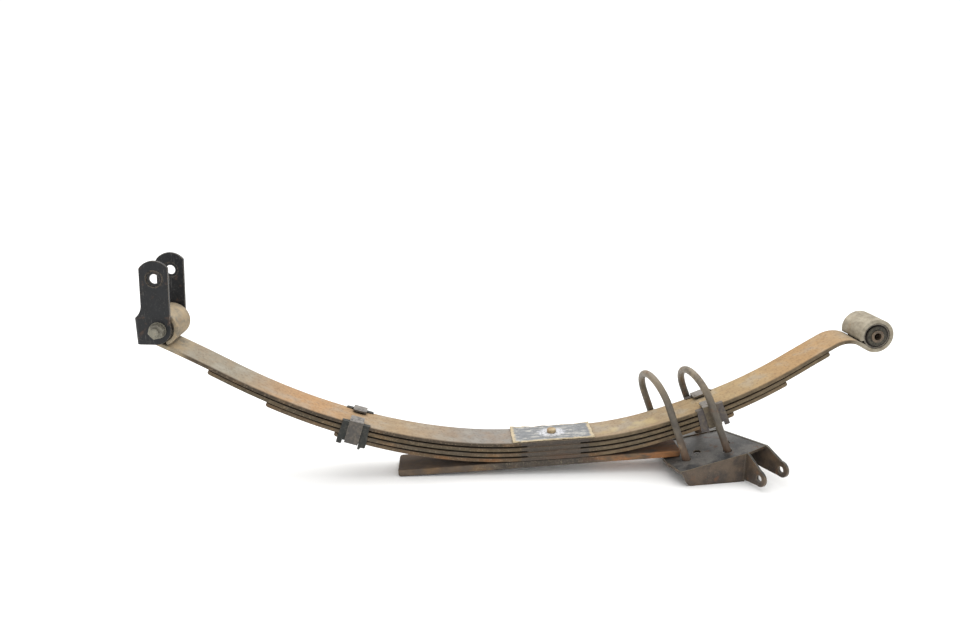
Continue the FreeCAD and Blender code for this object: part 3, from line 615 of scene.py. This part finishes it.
def sheet_point(tree, u, v):
    """Where the sheet is at shares u and v of its length and width, and how far it waves off the pad."""
    x = PAD_LOW.x + SHEET_INSET + (PAD_HIGH.x - PAD_LOW.x - 2 * SHEET_INSET) * u
    y = PAD_LOW.y + SHEET_INSET + (PAD_HIGH.y - PAD_LOW.y - 2 * SHEET_INSET) * v
    end, side = abs(2 * u - 1), abs(2 * v - 1)
    rim = max(end ** 8, side ** 8)
    if end > FRAY_END_FROM:
        x -= math.copysign(FRAY_AT_ENDS * rim, u - 0.5) * abs(noise.noise(Vector((y * 160, 3.0, 0.0))))
    if side > FRAY_SIDE_FROM:
        y -= math.copysign(FRAY_AT_SIDES * rim, v - 0.5) * abs(noise.noise(Vector((x * 120, 7.0, 0.0))))
    # Looks straight down at the pad, from just inside its edge.
    margin = 0.002
    over_x = min(max(x, PAD_LOW.x + margin), PAD_HIGH.x - margin)
    over_y = min(max(y, PAD_LOW.y + margin), PAD_HIGH.y - margin)
    hit = tree.ray_cast(Vector((over_x, over_y, PAD_HIGH.z + 0.01)), Vector((0, 0, -1)))[0]
    z = hit.z if hit is not None else PAD_HIGH.z
    wave = WAVE_HEIGHT * noise.noise(Vector((x * RIPPLE_X, y * RIPPLE_Y, 1.0))) * (0.35 + rim)
    # The four corners curl up.
    wave += CORNER_LIFT * max(0.0, end - 0.82) / 0.18 * max(0.0, side - 0.55) / 0.45
    return x, y, z, wave


def seat_sheet():
    """The seat sheet, slightly wavy with frayed edges, lying where the CAD pad lies."""
    pad = nodes["seat_pad"].data
    tree = BVHTree.FromPolygons([v.co for v in pad.vertices], [tuple(p.vertices) for p in pad.polygons])
    steps_x, steps_y = SHEET_STEPS_X, SHEET_STEPS_Y
    mesh = bpy.data.meshes.new("seat_sheet")
    build = bmesh.new()
    top, bottom = [], []
    for i in range(steps_x + 1):
        for j in range(steps_y + 1):
            x, y, z, wave = sheet_point(tree, i / steps_x, j / steps_y)
            top.append(build.verts.new((x, y, z - SHEET_DROP + wave)))
            bottom.append(build.verts.new((x, y, z - SHEET_THICK + min(wave, 0.0))))
    row = steps_y + 1
    for i in range(steps_x):
        for j in range(steps_y):
            a = i * row + j
            build.faces.new((top[a], top[a + row], top[a + row + 1], top[a + 1]))
            build.faces.new((bottom[a], bottom[a + 1], bottom[a + row + 1], bottom[a + row]))
    for i in range(steps_x):
        for a, b in ((i * row, (i + 1) * row), ((i + 1) * row + steps_y, i * row + steps_y)):
            build.faces.new((top[a], bottom[a], bottom[b], top[b]))
    for j in range(steps_y):
        for a, b in ((j + 1, j), (steps_x * row + j, steps_x * row + j + 1)):
            build.faces.new((top[a], bottom[a], bottom[b], top[b]))
    bmesh.ops.recalc_face_normals(build, faces=build.faces)
    build.to_mesh(mesh)
    build.free()
    for face in mesh.polygons:
        face.use_smooth = True
    piece = new_piece("seat_sheet", mesh, pad_finish(), "spring_pack")
    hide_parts("seat_pad")


ROD_R = 0.006
THREAD_LENGTH = 0.034
THREAD_PITCH = 0.00175
# How far the ridge's root lies inside the rod and its crest stands out of it, the ridge's half width as
# a share of the pitch, and how far above the rod's end the ridge starts.
THREAD_ROOT = 0.0004
THREAD_CREST = 0.00035
THREAD_HALF = 0.42
TURN_STEPS = 20
THREAD_START = 0.0012


def thread(name, foot, axis, material, body):
    """A helical thread ridge round a rod, from its foot up along axis."""
    side = axis.orthogonal().normalized()
    other = axis.cross(side)
    steps = int(THREAD_LENGTH / THREAD_PITCH * TURN_STEPS)
    root = ROD_R - THREAD_ROOT
    sections = ((root, -THREAD_HALF), (ROD_R + THREAD_CREST, 0.0), (root, THREAD_HALF))
    build = bmesh.new()
    rings = []
    for i in range(steps + 1):
        angle = 2 * math.pi * i / TURN_STEPS
        out = side * math.cos(angle) + other * math.sin(angle)
        # The ridge rises out of the rod over its first turn and sinks back over its last.
        grow = min(1.0, i / TURN_STEPS, (steps - i) / TURN_STEPS)
        ring = []
        for reach, offset in sections:
            height = THREAD_PITCH * (i / TURN_STEPS + 0.5 + offset)
            ring.append(build.verts.new(foot + axis * height + out * (root + (reach - root) * grow)))
        rings.append(ring)
    for first, second in zip(rings, rings[1:]):
        for k in (0, 1):
            build.faces.new((first[k], second[k], second[k + 1], first[k + 1]))
        build.faces.new((first[2], second[2], second[0], first[0]))
    build.faces.new(rings[0])
    build.faces.new(list(reversed(rings[-1])))
    bmesh.ops.recalc_face_normals(build, faces=build.faces)
    mesh = bpy.data.meshes.new(name)
    build.to_mesh(mesh)
    build.free()
    return new_piece(name, mesh, material, body)


def leg_foot(node, axis, side):
    """The centre of the lower end of a U-bolt's leg. side is -1 for the near leg and 1 for the far one."""
    places = [v.co for v in nodes[node].data.vertices if v.co.y * side > 0]
    lowest = min(place.dot(axis) for place in places)
    end = [place for place in places if place.dot(axis) < lowest + 0.0002]
    return Vector([(min(p[k] for p in end) + max(p[k] for p in end)) / 2 for k in range(3)])


seat_sheet()
for bolt, joint, body in (
    ("ubolt_rear", "ubolt_rear_lift", "rear_ubolt"),
    ("ubolt_front", "ubolt_front_lift", "fore_ubolt"),
):
    up = Vector(joints[joint]["axis"]).normalized()
    for side, label in ((-1, "near"), (1, "far")):
        foot = leg_foot(bolt, up, side) + up * THREAD_START
        rod_material = nodes[bolt].material_slots[0].material
        thread(f"{bolt}_{label}_thread", foot, up, rod_material, body)


# ---------------------------------------------------------------- studio

SCENE_MIDDLE = (cad_low + cad_high) / 2
FLOOR_REACH = 6.0
SKY_STRENGTH = 1.08
OVERHEAD_SIZE = 3.0
OVERHEAD_POWER = 50.0
CAMERA_AT = (-0.702988, -1.221, 0.356415)
CAMERA_DOWN = 15.1
CAMERA_TURN = -2.4
CAMERA_LENS = 28.95


def floor():
    mesh = bpy.data.meshes.new("floor")
    corners = []
    for x, y in ((-1, -1), (1, -1), (1, 1), (-1, 1)):
        corners.append((SCENE_MIDDLE.x + x * FLOOR_REACH, SCENE_MIDDLE.y + y * FLOOR_REACH, FLOOR_Z))
    mesh.from_pydata(corners, [], [(0, 1, 2, 3)])
    plane = bpy.data.objects.new("floor", mesh)
    bpy.context.scene.collection.objects.link(plane)
    paint = Paint("floor_white", specular=0.1)
    colour = paint.tint(srgb(252, 252, 251), paint.cloud(0.5, seed=5.0), 0.995, 1.0)
    plane.data.materials.append(paint.finish(colour, 0.9, paint.cloud(0.3), 0.0001, crevice_shade=0.0))


def soft_box(name, at, target, size, power):
    """A square area light at one place, aimed at another."""
    light = bpy.data.lights.new(name, "AREA")
    light.shape = "SQUARE"
    light.size = size
    light.energy = power
    lamp = bpy.data.objects.new(name, light)
    bpy.context.scene.collection.objects.link(lamp)
    lamp.location = at
    lamp.rotation_euler = (Vector(target) - Vector(at)).to_track_quat("-Z", "Y").to_euler()


def studio():
    """White surroundings and one soft box above and behind the spring."""
    world = bpy.data.worlds.new("studio")
    bpy.context.scene.world = world
    world.use_nodes = True
    background = world.node_tree.nodes["Background"]
    background.inputs["Color"].default_value = (1, 1, 1, 1)
    background.inputs["Strength"].default_value = SKY_STRENGTH
    above = (SCENE_MIDDLE.x, SCENE_MIDDLE.y + 0.9, SCENE_MIDDLE.z + 2.4)
    soft_box("overhead", above, SCENE_MIDDLE, OVERHEAD_SIZE, OVERHEAD_POWER)
    bpy.context.scene.view_settings.view_transform = "Standard"


def camera():
    """Looks down on the spring from its near side."""
    data = bpy.data.cameras.new("camera")
    data.sensor_width = 36.0
    data.lens = CAMERA_LENS
    data.clip_start = 0.05
    data.clip_end = 60.0
    eye = bpy.data.objects.new("camera", data)
    bpy.context.scene.collection.objects.link(eye)
    eye.location = CAMERA_AT
    eye.rotation_euler = (math.radians(90 - CAMERA_DOWN), 0.0, math.radians(CAMERA_TURN))
    bpy.context.scene.camera = eye


floor()
studio()
camera()
